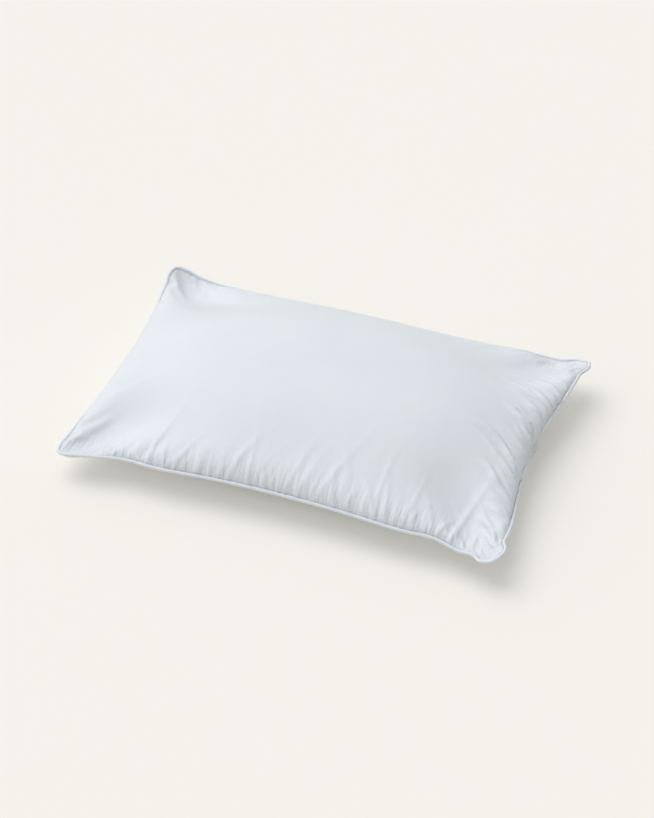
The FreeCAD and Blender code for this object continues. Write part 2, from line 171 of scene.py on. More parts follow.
CREASES = (
    # edge, panel, from, to, count, start, length, lean, width, height
    ("front", 0, -0.24, 0.34, 36, 0.0, 0.048, 0.05, 0.0044, 0.0036),
    ("front", 0, -0.36, 0.36, 104, 0.0, 0.026, 0.0, 0.0033, 0.0028),
    ("right", 0, -0.12, 0.15, 13, 0.056, 0.028, 0.4, 0.0052, 0.0100),
    ("right", 0, -0.22, 0.18, 32, 0.028, 0.020, 0.35, 0.0042, 0.0062),
    ("right", 0, -0.24, 0.24, 50, 0.0, 0.022, 0.2, 0.0034, 0.0019),
    ("back", 0, -0.35, 0.35, 26, 0.0, 0.036, 0.0, 0.0055, 0.0013),
    ("back", 0, -0.36, 0.36, 50, 0.0, 0.016, 0.0, 0.0036, 0.0009),
    ("left", 0, -0.23, 0.23, 16, 0.0, 0.040, 0.0, 0.0062, 0.0022),
    ("left", 0, -0.24, 0.24, 36, 0.0, 0.016, 0.0, 0.0038, 0.0012),
    ("front", 1, -0.36, 0.36, 44, 0.0, 0.030, 0.0, 0.0055, 0.0020),
    ("right", 1, -0.24, 0.24, 30, 0.0, 0.030, 0.0, 0.0055, 0.0020),
    ("back", 1, -0.36, 0.36, 44, 0.0, 0.030, 0.0, 0.0055, 0.0018),
    ("left", 1, -0.24, 0.24, 30, 0.0, 0.030, 0.0, 0.0055, 0.0018),
)
FAN = 0.4               # how much the creases of a side fan out
LEAN_SPREAD = 0.16      # the rest is how uneven creases are
BEND_SPREAD = 0.12
LENGTH_SPREAD = 0.4
PLACE_RANGE, START_RANGE = (0.1, 0.9), (0.5, 1.5)
WIDTH_RANGE, HEIGHT_RANGE = (0.7, 1.4), (0.3, 1.5)
CREASE_HEM = 0.006      # a crease rises over this distance from the seam
CREASE_VALLEY = 0.45    # depth of the hollows beside it, against it
CALM_CORNER = 0.045     # creases fade over this distance to a corner
CALM_SHARE = 0.3        # and leave this share of it plain


# ------------ cloth simulation
def crowded(count, size):
    """Grid lines over a length, closer together towards both ends."""
    share = np.linspace(-1, 1, count + 1)
    return size / 2 * (share * (1 + EDGE_CROWDING) - EDGE_CROWDING * share**3)


def flat_pattern(cells):
    """The cut shape of a panel: a rectangle whose corner squares are bent round."""
    x, y = np.meshgrid(crowded(cells[0], CUT_LENGTH), crowded(cells[1], CUT_WIDTH))
    over_x = np.clip((np.abs(x) - (CUT_LENGTH / 2 - CUT_CORNER)) / CUT_CORNER, 0, 1)
    over_y = np.clip((np.abs(y) - (CUT_WIDTH / 2 - CUT_CORNER)) / CUT_CORNER, 0, 1)
    round_x = CUT_CORNER * over_x * (np.sqrt(1 - over_y**2 / 2) - 1)
    round_y = CUT_CORNER * over_y * (np.sqrt(1 - over_x**2 / 2) - 1)
    return np.stack([x + np.sign(x) * round_x, y + np.sign(y) * round_y])


def lumps(pattern, wave, random):
    """Smooth unevenness over the panel, between -1 and 1, with a given wavelength."""
    total = np.zeros(pattern.shape[1:])
    for _ in range(16):
        angle, phase = random.uniform(0, 2 * math.pi, 2)
        length = wave * random.uniform(*LUMP_SPREAD)
        along = pattern[0] * math.cos(angle) + pattern[1] * math.sin(angle)
        total += random.normal() * np.cos(2 * math.pi * along / length + phase)
    return total / np.abs(total).max()


def lengths(steps):
    """How long each vector of [xyz, ...] is."""
    return np.sqrt((steps * steps).sum(0)).astype(F)


def pull_together(a, b, rest, share):
    """Move two sets of points towards their rest distance."""
    step = b - a
    length = np.sqrt((step * step).sum(0))
    step *= 0.5 * F(share) * (length - rest) / np.maximum(length, F(SHORTEST))
    a += step
    b -= step


class Cover:
    """Two panels sewn together at their edge; points are [xyz, panel, row, column].

    Panel 0 is the upper one and panel 1 the lower one.
    """

    def __init__(self, cells, points=None):
        self.cells = cells
        pattern = flat_pattern(cells)
        self.pattern = pattern
        self.across = lengths(pattern[:, :, 1:] - pattern[:, :, :-1])
        self.along = lengths(pattern[:, 1:] - pattern[:, :-1])
        self.rising = lengths(pattern[:, 1:, 1:] - pattern[:, :-1, :-1])
        self.falling = lengths(pattern[:, 1:, :-1] - pattern[:, :-1, 1:])
        self.across[[0, -1]] *= SEAM_SHRINK
        self.along[:, [0, -1]] *= SEAM_SHRINK
        random = np.random.default_rng(SEED)
        u, v = 2 * pattern[0] / CUT_LENGTH, 2 * pattern[1] / CUT_WIDTH
        dome = np.clip(1 - np.abs(u) ** FLAT_LENGTH, 0, 1) ** FULL_ENDS
        dome *= np.clip(1 - np.abs(v) ** FLAT_WIDTH, 0, 1) ** FULL_SIDES
        dome *= np.clip(1 - (u * v) ** 2, 0, 1) ** EMPTY_CORNERS
        uneven = 1 + LUMP_HEIGHT * lumps(pattern, LUMP_SIZE, random)
        self.wanted = (CROWN * dome * uneven).astype(F)
        flat = np.stack([*pattern, 0 * pattern[0]])[:, None].repeat(2, 1)
        if points is None:
            points = flat.copy()
            points[2] = START_HEIGHT + np.stack([self.wanted, -self.wanted]) * START_SHARE
            points += random.normal(0, START_NOISE, points.shape) * (self.wanted > START_NOISY)
        self.points = points.astype(F)
        self.speed = np.zeros_like(self.points)
        from_ends = CUT_LENGTH / 2 - np.abs(pattern[0])
        from_sides = CUT_WIDTH / 2 - np.abs(pattern[1])
        self.edge = np.exp(-np.minimum(from_ends, from_sides) / EDGE_REACH).astype(F)
        self.spread = np.stack([np.sign(pattern[0]) * np.exp(-from_ends / EDGE_REACH),
                                np.sign(pattern[1]) * np.exp(-from_sides / EDGE_REACH)]).astype(F)
        self.cell_area = lengths(self.normals(flat))
        self.find_seam()
        self.sew()

    def find_seam(self):
        """Rows and columns of the seam, anticlockwise from the front left corner."""
        columns, rows = self.cells
        self.row = np.concatenate([np.zeros(columns, int), np.arange(rows),
                                   np.full(columns, rows), np.arange(rows, 0, -1)])
        self.column = np.concatenate([np.arange(columns), np.full(rows, columns),
                                      np.arange(columns, 0, -1), np.zeros(rows, int)])
        self.corners = np.array([0, columns, columns + rows, 2 * columns + rows])
        half = columns + rows
        away = (np.arange(2 * half)[:, None] - self.corners + half) % (2 * half) - half
        self.from_corner = np.abs(away).min(1)

    def sew(self, stiffness=0.0):
        """Join the panels' edges, and resist bending of the piped seam except at its corners."""
        seam = self.points[:, :, self.row, self.column].sum(1) * F(0.5)
        for step in (1, 2, 4):
            bend = np.roll(seam, step, 1) + np.roll(seam, -step, 1) - 2 * seam
            bend *= F(stiffness) * (self.from_corner >= step)
            seam = seam + bend - 0.5 * (np.roll(bend, step, 1) + np.roll(bend, -step, 1))
        self.points[:, :, self.row, self.column] = seam[:, None]

    @staticmethod
    def normals(points):
        """Outward normals, as long as the cell that each point stands for is large."""
        x_step = np.gradient(points, axis=-1)
        y_step = np.gradient(points, axis=-2)
        normal = np.cross(x_step, y_step, axis=0)
        normal[:, 1] *= -1
        return normal.astype(F)

    def unit_normals(self):
        normal = self.normals(self.points)
        return normal / np.maximum(lengths(normal), F(TINY))

    def keep_lengths(self, shear, bending):
        """Hold the cloth to its cut size, resist shear and bending a little, and sew it."""
        points = self.points
        columns, rows = self.cells
        for odd in (0, 1):
            pairs = (columns + 1 - odd) // 2
            a, b = points[..., odd::2][..., :pairs], points[..., odd + 1::2][..., :pairs]
            pull_together(a, b, self.across[:, odd::2][:, :pairs], 1)
            pairs = (rows + 1 - odd) // 2
            a = points[..., odd::2, :][..., :pairs, :]
            b = points[..., odd + 1::2, :][..., :pairs, :]
            pull_together(a, b, self.along[odd::2][:pairs], 1)
            pull_together(a[..., :-1], b[..., 1:], self.rising[odd::2][:pairs], shear)
            pull_together(a[..., 1:], b[..., :-1], self.falling[odd::2][:pairs], shear)
        for lines in (points, points.swapaxes(-1, -2)):
            bend = (lines[..., 2:] - 2 * lines[..., 1:-1] + lines[..., :-2]) * F(bending)
            lines[..., 1:-1] += 2 * bend
            lines[..., 2:] -= bend
            lines[..., :-2] -= bend
        self.sew(SEAM_STIFFNESS)

    def settle(self, steps, rounds, push, weight, keep, bending=0.01, shear=0.3):
        """Blow the cover up towards its wanted thickness while it rests on the floor."""
        for _ in range(steps):
            thickness = self.points[2, 0] - self.points[2, 1]
            pressure = np.clip((self.wanted - thickness) / F(FULL_PUSH), -0.5, 1.5)
            force = self.normals(self.points) / np.maximum(self.cell_area, TINY)
            force *= F(push) * pressure
            force[:, 1] *= 1 - F(TUCKED_UNDER) * self.edge
            force[2, 1] -= F(weight) * (0.5 + thickness / F(FULL_PUSH))
            force[2, 0] -= F(weight) * 0.5
            force[:2] += F(push * SPREAD) * self.spread[:, None]
            before = self.points.copy()
            self.points += self.speed * F(keep) + force
            for _ in range(rounds):
                self.keep_lengths(shear, bending)
                height = self.points[2]
                height[height < 0] = 0
            self.speed = self.points - before
            resting = self.points[2] <= 0
            self.speed[:2, resting] *= F(FLOOR_GRIP)

    def refined(self):
        """The same cover with twice as many cells each way."""
        points = self.points
        columns, rows = self.cells
        wide = np.empty(points.shape[:-1] + (2 * columns + 1,), F)
        wide[..., ::2] = points
        wide[..., 1::2] = (points[..., 1:] + points[..., :-1]) / 2
        full = np.empty(wide.shape[:-2] + (2 * rows + 1, 2 * columns + 1), F)
        full[..., ::2, :] = wide
        full[..., 1::2, :] = (wide[..., 1:, :] + wide[..., :-1, :]) / 2
        return Cover((2 * columns, 2 * rows), full)

    def tuck(self):
        """Draw the lower panel in under the long seams."""
        x, y = self.pattern
        depth = (CUT_WIDTH / 2 - np.abs(y)) / TUCK_DEPTH
        bump = depth * np.exp(1 - depth)
        self.points[1, 1] -= F(TUCK) * np.sign(y) * bump * (1 - (2 * x / CUT_LENGTH) ** 4)

    def draw_front(self):
        """Pull the front edge in a little beside its two corners."""
        x, y = self.pattern
        beside = np.exp(-((np.abs(x) - FRONT_DRAWN_AT) / FRONT_DRAWN_SPAN) ** 2)
        near = np.exp(-(y + CUT_WIDTH / 2) / FRONT_DRAWN_DEPTH)
        self.points[1] += F(FRONT_DRAWN) * beside * near

    def dent_right(self):
        """The right side lies drawn in, with a small step where the piping's ends lap."""
        x, y = self.pattern
        from_end = CUT_LENGTH / 2 - x
        drawn = RIGHT_DENT * np.exp(-from_end / RIGHT_DENT_DEPTH)
        drawn *= (1 - (2 * y / CUT_WIDTH) ** 2) ** 2
        step = np.tanh(y / JOIN_STEP_TURN) * np.exp(-(y / JOIN_STEP_SPAN) ** 2)
        step *= np.exp(-from_end / JOIN_STEP_DEPTH)
        self.points[0] -= (drawn + JOIN_STEP * step).astype(F)

    def make_room(self):
        """Keep the panels far enough apart for the allowances that lie between them."""
        columns, rows = self.cells
        row, column = np.arange(rows + 1)[:, None], np.arange(columns + 1)[None]
        inward = np.minimum(np.minimum(row, rows - row), np.minimum(column, columns - column))
        room = ROOM * np.clip(inward * CUT_LENGTH / columns / ROOM_REACH, 0, 1)
        more = np.maximum(room - (self.points[2, 0] - self.points[2, 1]) / 2, 0).astype(F)
        self.points[2, 0] += more
        self.points[2, 1] -= more

    def shape_ear(self, ends, raised, stretch, lift, roll, pinch, fold):
        """Shape one corner: its neck gathered, its tip lifted and rolled about the diagonal."""
        x, y = self.pattern
        from_end, from_side = CUT_LENGTH / 2 - ends[0] * x, CUT_WIDTH / 2 - ends[1] * y
        deep, aside = (from_end + from_side) / math.sqrt(2), (from_end - from_side) / math.sqrt(2)
        outward = np.array([ends[0], ends[1], 0]) / math.sqrt(2)
        across = np.array([-ends[0], ends[1], 0]) / math.sqrt(2)
        near = np.exp(-(aside / EAR_WIDTH) ** 2)
        neck = np.exp(-((deep - EAR_NECK) / EAR_NECK_LENGTH) ** 2) * near
        points = self.points.astype(float)
        blunt = EAR_BLUNT * np.exp(-((deep - EAR_TIP) / EAR_TIP_LENGTH) ** 2)
        points -= across[:, None, None, None] * (pinch * (neck - blunt) * aside)
        inside = np.clip(np.minimum(from_end, from_side) / EAR_HEM, 0, 1)
        wave = inside * np.cos(2 * math.pi * aside / EAR_FOLD + EAR_FOLD_PHASE)
        points[2] += fold * wave * near * np.exp(-((deep - EAR_FOLD_AT) / EAR_FOLD_LENGTH) ** 2)
        points[2] += raised * np.exp(-(deep / EAR_RAISED_REACH) ** 2)
        spot = np.argmin((deep - EAR_REACH) ** 2 + aside**2)
        pivot = points.mean(1).reshape(3, -1)[:, spot][:, None, None, None]
        share = np.clip(1 - deep / EAR_REACH, 0, 1)
        for axis, angle in ((np.cross(outward, (0, 0, 1)), lift), (outward, roll)):
            turn = math.radians(angle) * share
            arm = points - pivot
            turned = np.cross(axis, arm, axis=0)
            along = np.tensordot(axis, arm, 1) * axis[:, None, None, None]
            points = pivot + arm * np.cos(turn) + turned * np.sin(turn) + along * (1 - np.cos(turn))
        points += np.array(stretch)[:, None, None, None] * share**EAR_STRETCH
        self.points = points.astype(F)
        self.sew()

    def crease(self, creases):
        """Lift the cloth along creases that run in from the seam: the puckers of a piped edge."""
        x, y = self.pattern
        edges = {
            "front": (x, y + CUT_WIDTH / 2), "back": (x, CUT_WIDTH / 2 - y),
            "left": (y, x + CUT_LENGTH / 2), "right": (y, CUT_LENGTH / 2 - x),
        }
        corner = np.hypot(CUT_LENGTH / 2 - np.abs(x), CUT_WIDTH / 2 - np.abs(y))
        calm = np.clip(corner / CALM_CORNER - CALM_SHARE, 0, 1)
        rise = np.zeros_like(self.points[0])
        for panel, edge, place, start, length, lean, bend, width, height in creases:
            along, depth = edges[edge]
            reach = (depth - start) / length
            offset = (along - place - length * (lean * reach + bend * reach**2)) / width
            offset /= 0.8 + 0.5 * np.clip(reach, 0, 2)
            ridge = np.exp(-np.abs(offset) ** 1.5) - CREASE_VALLEY * np.exp(-(offset / 2) ** 2)
            rise[panel] += height * ridge * np.clip(depth / CREASE_HEM, 0, 1) * np.exp(-reach**2)
        self.points += (rise * calm).astype(F) * self.unit_normals()
        self.sew()

    def smooth(self):
        """Round the tops of the creases, all but the seam, and keep them off the floor."""
        points = self.points
        inside = points[..., 1:-1, 1:-1]
        around = points[..., 2:, 1:-1] + points[..., :-2, 1:-1]
        around += points[..., 1:-1, 2:] + points[..., 1:-1, :-2]
        inside += F(0.5) * (around / 4 - inside)
        np.maximum(points[2], TICKING / 2, out=points[2])


def puckers():
    """Creases for every side, longest where the cover is gathered most."""
    random = np.random.default_rng(SEED + 1)
    creases = []
    for edge, panel, first, last, count, start, reach, slant, width, height in CREASES:
        for number in range(count):
            place = first + (last - first) * (number + random.uniform(*PLACE_RANGE)) / count
            lean = slant - FAN * place / (last - first) + random.normal(0, LEAN_SPREAD)
            length = reach * random.lognormal(0, LENGTH_SPREAD)
            bend = random.normal(0, BEND_SPREAD)
            creases.append((panel, edge, place, start * random.uniform(*START_RANGE), length,
                            lean, bend, width * random.uniform(*WIDTH_RANGE),
                            height * random.uniform(*HEIGHT_RANGE)))
    return creases


def blow_up():
    """The cover, filled, shaped and creased, lying on the floor, and its seam line."""
    cover = Cover(COARSE)
    cover.settle(steps=350, rounds=4, push=4e-4, weight=1e-5, keep=0.95)
    cover = cover.refined()
    cover.settle(steps=200, rounds=5, push=2e-4, weight=5e-6, keep=0.93)
    cover = cover.refined()
    cover.settle(steps=90, rounds=7, push=1e-4, weight=2.5e-6, keep=0.9,
                 bending=0.004, shear=0.25)
    cover.tuck()
    cover.draw_front()
    cover.dent_right()
    cover.make_room()
    for ear in EARS:
        cover.shape_ear(*ear)
    cover.points[2] += F(TICKING / 2)
    seam = Seam(cover)
    cover.crease(puckers())
    cover.smooth()
    return cover, seam


# ------------ the seam as a path
def unit(vectors):
    """Vectors [..., xyz] at length 1."""
    return vectors / np.maximum(np.linalg.norm(vectors, axis=-1, keepdims=True), TINY)


def eased(values, reach):
    """Smooth values that run round the loop, over a number of points to each side."""
    weights = np.exp(-0.5 * (np.arange(-3 * reach, 3 * reach + 1) / reach) ** 2)
    total = sum(w * np.roll(values, k - 3 * reach, 0) for k, w in enumerate(weights))
    return total / weights.sum()


class Seam:
    """The sewn line, with the directions along it, outward from the pillow and up."""

    def __init__(self, cover):
        columns, rows = cover.cells
        line = cover.points[:, 0, cover.row, cover.column].T.astype(float)
        inner_row = np.clip(cover.row, INNER_CELLS, rows - INNER_CELLS)
        inner_column = np.clip(cover.column, INNER_CELLS, columns - INNER_CELLS)
        inner = cover.points.mean(1)[:, inner_row, inner_column].T
        self.line = eased(line, LINE_EASE)
        self.forward = unit(np.roll(self.line, -1, 0) - np.roll(self.line, 1, 0))
        outward = eased(unit(line - inner), OUTWARD_EASE)
        outward -= (outward * self.forward).sum(1, keepdims=True) * self.forward
        self.outward = unit(outward)
        self.up = np.cross(self.outward, self.forward)
        steps = np.linalg.norm(np.roll(self.line, -1, 0) - self.line, axis=1)
        self.distance = np.concatenate([[0], np.cumsum(steps)])
        self.length = self.distance[-1]
        self.corners = self.distance[cover.corners]

    def middle(self, side):
        """Distance of the middle of a side: front, right, back or left."""
        ends = np.append(self.corners, self.length)
        number = ("front", "right", "back", "left").index(side)
        return (ends[number] + ends[number + 1]) / 2

    def at(self, distance):
        """Points and directions at distances along the seam."""
        found = []
        for values in (self.line, self.forward, self.outward, self.up):
            closed = np.vstack([values, values[:1]])
            wrapped = np.mod(distance, self.length)
            found.append(np.stack([np.interp(wrapped, self.distance, closed[:, k])
                                   for k in range(3)], -1))
        line, *directions = found
        return [line] + [unit(direction) for direction in directions]


# ------------ mesh building
class Builder:
    """Collects points and quads of one piece, then makes its object."""

    def __init__(self):
        self.points = []
        self.faces = []
        self.flat = []
        self.count = 0

    def add(self, points, faces, flat=None):
        """Take in points, quads that count from them, and their places on the flat cloth."""
        points = np.asarray(points, float).reshape(-1, 3)
        self.points.append(points)
        self.faces.append(np.asarray(faces).reshape(-1, 4) + self.count)
        flat = points[:, :2] if flat is None else np.asarray(flat, float).reshape(-1, 2)
        self.flat.append(flat)
        self.count += len(points)
        return self

    def add_rings(self, rings, closed_along, flat=None):
        """Skin over rings [ring, point, xyz]; open runs get their ends filled."""
        count, size = rings.shape[:2]
        index = np.arange(count * size).reshape(count, size)
        following = np.roll(index, -1, 0) if closed_along else index[1:]
        here = index if closed_along else index[:-1]
        quads = np.stack([here, np.roll(here, -1, 1), np.roll(following, -1, 1), following], -1)
        faces = [quads.reshape(-1, 4)]
        if not closed_along:
            k = np.arange(size // 2 - 1)
            cap = np.stack([k, size - 1 - k, size - 2 - k, k + 1], -1)
            faces += [index[0][cap], index[-1][cap[:, ::-1]]]
        return self.add(rings, np.concatenate(faces), flat)

    def make(self, name, material):
        points = np.concatenate(self.points)
        faces = np.concatenate(self.faces)
        mesh = bpy.data.meshes.new(name)
        mesh.from_pydata(points.tolist(), [], faces.tolist())
        uv = mesh.uv_layers.new(name="cloth")
        corners = np.empty(len(mesh.loops), int)
        mesh.loops.foreach_get("vertex_index", corners)
        uv.data.foreach_set("uv", np.concatenate(self.flat)[corners].ravel())
        mesh.polygons.foreach_set("use_smooth", [True] * len(mesh.polygons))
        mesh.materials.append(material)
        mesh.update()
        piece = bpy.data.objects.new(name, mesh)
        bpy.context.scene.collection.objects.link(piece)
        return piece


def thicken(piece, thickness):
    """Give a single layer of cloth its two faces, half the thickness to each side."""
    solid = piece.modifiers.new("thickness", "SOLIDIFY")
    solid.thickness = thickness
    solid.offset = 0
    graph = bpy.context.evaluated_depsgraph_get()
    made = bpy.data.meshes.new_from_object(piece.evaluated_get(graph))
    piece.modifiers.clear()
    piece.data = made


def grid_quads(index):
    """Quads of a grid of points, given by their numbers."""
    quads = np.stack([index[:-1, :-1], index[:-1, 1:], index[1:, 1:], index[1:, :-1]], -1)
    return quads.reshape(-1, 4)


def round_run(centres, first, second, radius, sides):
    """Rings of a round run: centres [n, xyz], and two directions across it."""
    angle = (np.arange(sides) * 2 * math.pi / sides)[None, :, None]
    ring = np.cos(angle) * first[:, None] + np.sin(angle) * second[:, None]
    return centres[:, None] + radius * ring


# ------------ pieces
def make_panel(cover, seam, panel, name, material):
    """One ticking panel: the blown-up sheet, turned in at the seam to its allowance."""
    side = 1 if panel == 0 else -1
    points = np.moveaxis(cover.points[:, panel], 0, -1).astype(float)
    flat = np.moveaxis(cover.pattern, 0, -1)
    row, column = cover.row, cover.column
    points[row, column] = seam.line + HUG_OUT * seam.outward + side * HUG_UP * seam.up
    rows, columns = points.shape[:2]
    index = np.arange(rows * columns).reshape(rows, columns)
    edge_flat = flat[row, column]
    loops = [index[row, column]]
    all_points, all_flat = [points.reshape(-1, 3)], [flat.reshape(-1, 2)]
    total = rows * columns
    drift = FOLD_DRIFT * np.sin(seam.distance[:-1] / FOLD_DRIFT_WAVE + 3 * side)
    for depth in ALLOWANCE_BENDS:
        gap = side * FOLD_GAP + drift * min(1, depth / FOLD_DRIFT_DEPTH)
        ring = seam.line - depth * seam.outward + gap[:, None] * seam.up
        loops.append(total + np.arange(len(ring)))
        all_points.append(ring)
        all_flat.append(edge_flat * (1 + depth / np.linalg.norm(edge_flat, axis=1))[:, None])
        total += len(ring)
    faces = [grid_quads(index)]
    for outer, inner in zip(loops, loops[1:]):
        faces.append(np.stack([np.roll(outer, -1), outer, inner, np.roll(inner, -1)], -1))
    faces = np.concatenate(faces)
    if side < 0:
        faces = faces[:, ::-1]
    build = Builder().add(np.concatenate(all_points), faces, np.concatenate(all_flat))
    piece = build.make(name, material)
    thicken(piece, TICKING)
    return piece


def tape_profile():
    """Outline of the folded tape across the seam: outward and up from the seam line."""
    face, bore = TAPE + TAPE_GAP, TAPE_RADIUS - TAPE
    start = math.pi - math.asin(face / TAPE_RADIUS)
    outer = [(TAPE_CENTRE + TAPE_RADIUS * math.cos(a), TAPE_RADIUS * math.sin(a))
             for a in np.linspace(start, -start, 23)]
    start = math.pi - math.asin(TAPE_GAP / bore)
    inner = [(TAPE_CENTRE + bore * math.cos(a), bore * math.sin(a))
             for a in np.linspace(-start, start, 15)]
    above = [(-depth, face) for depth in TAPE_FLAT]
    below = [(-depth, -face) for depth in reversed(TAPE_FLAT)]
    inside = [(-ALLOWANCE, -TAPE_GAP), (-TAPE_BEND, -TAPE_GAP)]
    inside_up = [(-TAPE_BEND, TAPE_GAP), (-ALLOWANCE, TAPE_GAP)]
    return np.array(above + outer + below + inside + inner + inside_up)


def waver(distance, length, waves, random):
    """A closed uneven line round the loop, between about -1 and 1."""
    total = 0
    for count in random.integers(waves[0], waves[1], 9):
        total = total + np.cos(2 * math.pi * count * distance / length
                               + random.uniform(0, 2 * math.pi))
    return total / 3


def make_tape(seam, material):
    """The piping's bias tape, round the cord, with its ends lapped on the right side."""
    random = np.random.default_rng(SEED + 5)
    profile = tape_profile()
    distance = np.arange(0, seam.length, seam.length / round(seam.length / TAPE_STEP))
    line, _, outward, up = seam.at(distance)
    turn = np.arctan2(profile[:, 1], profile[:, 0] - TAPE_RADIUS)
    on_tube = profile[:, 0] > 0
    rib = waver(distance, seam.length, (180, 420), random)[:, None] * np.cos(turn)[None]
    rib += waver(distance, seam.length, (150, 380), random)[:, None] * np.sin(turn)[None]
    swell = 1 + TAPE_RIB * rib * on_tube[None]
    reach = np.where(on_tube, TAPE_RADIUS + (profile[:, 0] - TAPE_RADIUS) * swell, profile[:, 0])
    rise = profile[:, 1] * swell
    rings = line[:, None] + reach[..., None] * outward[:, None] + rise[..., None] * up[:, None]
    around = np.concatenate([[0], np.cumsum(np.linalg.norm(np.diff(profile, axis=0), axis=1))])
    flat = np.stack(np.broadcast_arrays(distance[:, None], around[None]), -1)
    build = Builder().add_rings(rings, True, flat)
    lap_over(build, seam)
    return build.make("piping_tape", material)


def lap_over(build, seam):
    """The folded end of the tape, lapped over its other end and cut on the bias."""
    start = math.pi - JOIN_OPEN
    angles = np.concatenate([np.linspace(start, -start, 17), np.linspace(-start, start, 17)])
    radius = np.repeat([JOIN_OUTER, JOIN_INNER], 17)
    shares = np.array([0, 0.06, 0.25, 0.5, 0.75, 0.94, 1])
    along = seam.middle("right") + (shares[:, None] - 0.5) * JOIN_LENGTH
    along = along + JOIN_BIAS * np.sin(angles)
    thin = np.where((shares == 0) | (shares == 1), JOIN_THIN, 1)[:, None]
    depth = JOIN_INNER + (radius[None] - JOIN_INNER) * thin
    line, _, outward, up = seam.at(along)
    rings = line + TAPE_CENTRE * outward + (depth * np.cos(angles))[..., None] * outward
    rings = rings + (depth * np.sin(angles))[..., None] * up
    build.add_rings(rings, False, np.stack(np.broadcast_arrays(along, angles * radius), -1))


def make_cord(seam, material):
    """The piping's filler cord: three soft strands twisted together."""
    build = Builder()
    distance = seam.middle("right") + np.arange(CORD_END, seam.length - CORD_END, CORD_STEP)
    line, _, outward, up = seam.at(distance)
    centre = line + TAPE_CENTRE * outward
    for strand in range(3):
        turn = 2 * math.pi * (distance / CORD_TWIST + strand / 3)[:, None]
        middle = centre + CORD_LAY * (np.cos(turn) * outward + np.sin(turn) * up)
        build.add_rings(round_run(middle, outward, up, CORD_RADIUS - CORD_LAY, 6), False)
    return build.make("piping_cord", material)


def make_fill(cover, material):
    """The down: the room inside the panels, drawn back from the seam, with soft lumps."""
    x, y = crowded(cover.cells[0], CUT_LENGTH), crowded(cover.cells[1], CUT_WIDTH)
    columns = np.interp(x[::2] * (1 - 2 * FILL_SETBACK / CUT_LENGTH), x, np.arange(len(x)))
    rows = np.interp(y[::2] * (1 - 2 * FILL_SETBACK / CUT_WIDTH), y, np.arange(len(y)))
    random = np.random.default_rng(SEED + 9)
    dimple = 0.5 + 0.5 * lumps(cover.pattern, FILL_DIMPLE_SIZE, random)
    inset = cover.points - cover.unit_normals() * (FILL_INSET + FILL_DIMPLE * dimple)
    low_row, low_column = rows.astype(int), columns.astype(int)
    next_row = np.minimum(low_row + 1, len(y) - 1)
    next_column = np.minimum(low_column + 1, len(x) - 1)
    part_row, part_column = (rows - low_row)[:, None], (columns - low_column)[None]
    upper = inset[..., low_row, :] * (1 - part_row) + inset[..., next_row, :] * part_row
    grid = upper[..., low_column] * (1 - part_column) + upper[..., next_column] * part_column
    middle, half = grid[2].mean(0), (grid[2, 0] - grid[2, 1]) / 2
    half = np.maximum(half, FILL_RIM)
    grid[2, 0], grid[2, 1] = middle + half, middle - half
    points = np.moveaxis(grid, 0, -1)
    count = points.shape[1] * points.shape[2]
    index = np.arange(2 * count).reshape(points.shape[:3])
    upper_loop, lower_loop = (np.concatenate([layer[0, :-1], layer[:-1, -1], layer[-1, :0:-1],
                                              layer[:0:-1, 0]]) for layer in index)
    rim = np.stack([np.roll(lower_loop, -1), np.roll(upper_loop, -1), upper_loop, lower_loop], -1)
    faces = np.concatenate([grid_quads(index[0]), grid_quads(index[1])[:, ::-1], rim])
    return Builder().add(points, faces).make("down_fill", material)


def make_row(seam, row, side, name, material):
    """A row of stitches, seen from one side of the seam: short arches that dip into the cloth."""
    inset, rise, radius = STITCH_ROWS[row]
    start, span = 0.0, seam.length
    if row == "closing":
        start, span = seam.middle("back") - OPENING / 2, OPENING
    arch = side * (rise + np.array(STITCH_ARCH))
    count = int(span / STITCH)
    first = start + np.arange(count) * span / count
    shares = STITCH_START + STITCH_LENGTH * np.linspace(0, 1, len(STITCH_ARCH))
    line, _, outward, up = seam.at(first[:, None] + shares[None] * span / count)
    middle = line - inset * outward + arch[None, :, None] * up
    build = Builder()
    for stitch in range(count):
        build.add_rings(round_run(middle[stitch], outward[stitch], up[stitch], radius, 6), False)
    return build.make(name, material)


def make_overlock(seam, material):
    """The overlock thread: a run of loops over the raw edges of all the layers."""
    distance = np.arange(0, seam.length, STITCH / 8)
    turn = 2 * math.pi * distance / STITCH
    line, forward, outward, up = seam.at(distance)
    bite = OVERLOCK_BITE * np.cos(turn) - ALLOWANCE + OVERLOCK_OUT
    rise = OVERLOCK_RISE * np.clip(OVERLOCK_SQUARE * np.sin(turn), -1, 1)
    centre = line + bite[:, None] * outward + rise[:, None] * up
    run = unit(np.roll(centre, -1, 0) - np.roll(centre, 1, 0))
    first = unit(np.cross(run, forward))
    rings = round_run(centre, first, np.cross(run, first), OVERLOCK_RADIUS, 4)
    return Builder().add_rings(rings, True).make("overlock_thread", material)


